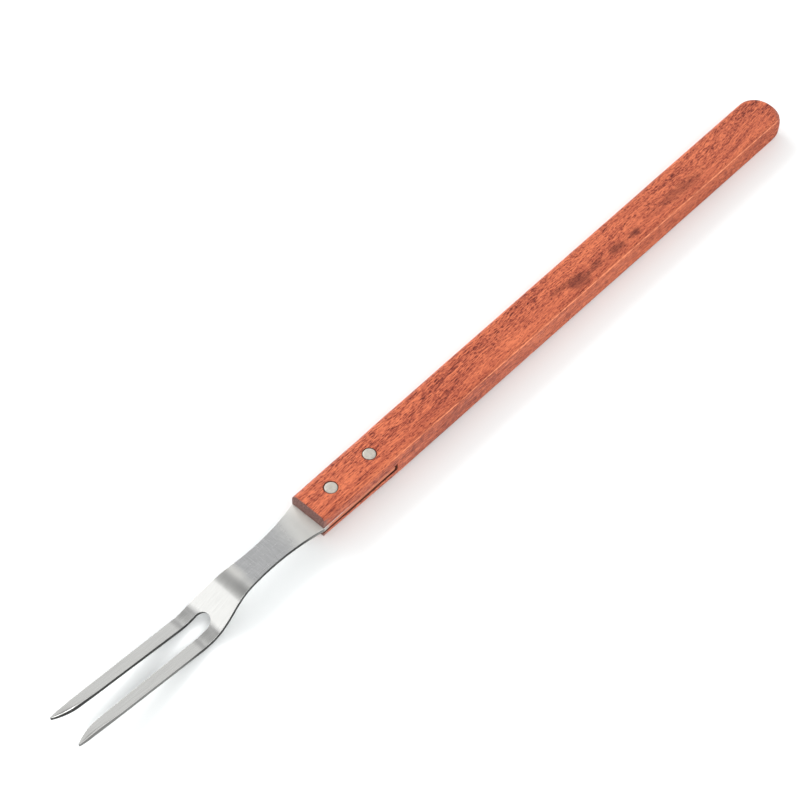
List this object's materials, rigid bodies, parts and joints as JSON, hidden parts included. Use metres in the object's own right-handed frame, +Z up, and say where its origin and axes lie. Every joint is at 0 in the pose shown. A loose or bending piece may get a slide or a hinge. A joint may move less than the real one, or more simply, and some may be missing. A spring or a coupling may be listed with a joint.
{
  "type": "roasting fork",
  "caption": "Long roasting fork: a waisted, bent steel blade with straight pointed tines, riveted into a sawn, round-ended wooden handle.",
  "frame": {"origin": "on the table, under the middle of the fork's length, as it lies on its heel and on the lower edge of the butt", "axes": "+X along the fork from the butt to the tines, +Y across it, +Z up"},
  "size_m": [0.5334, 0.0244, 0.0192],
  "materials": {
    "blade_steel": "fine brushed stainless sheet",
    "handle_wood": "smooth oiled reddish hardwood",
    "rivet_metal": "satin, peened flush"
  },
  "bodies": {
    "root": {"fork_blade": "blade_steel", "handle": "handle_wood", "front_rivet": "rivet_metal", "rear_rivet": "rivet_metal"}
  },
  "joints": []
}
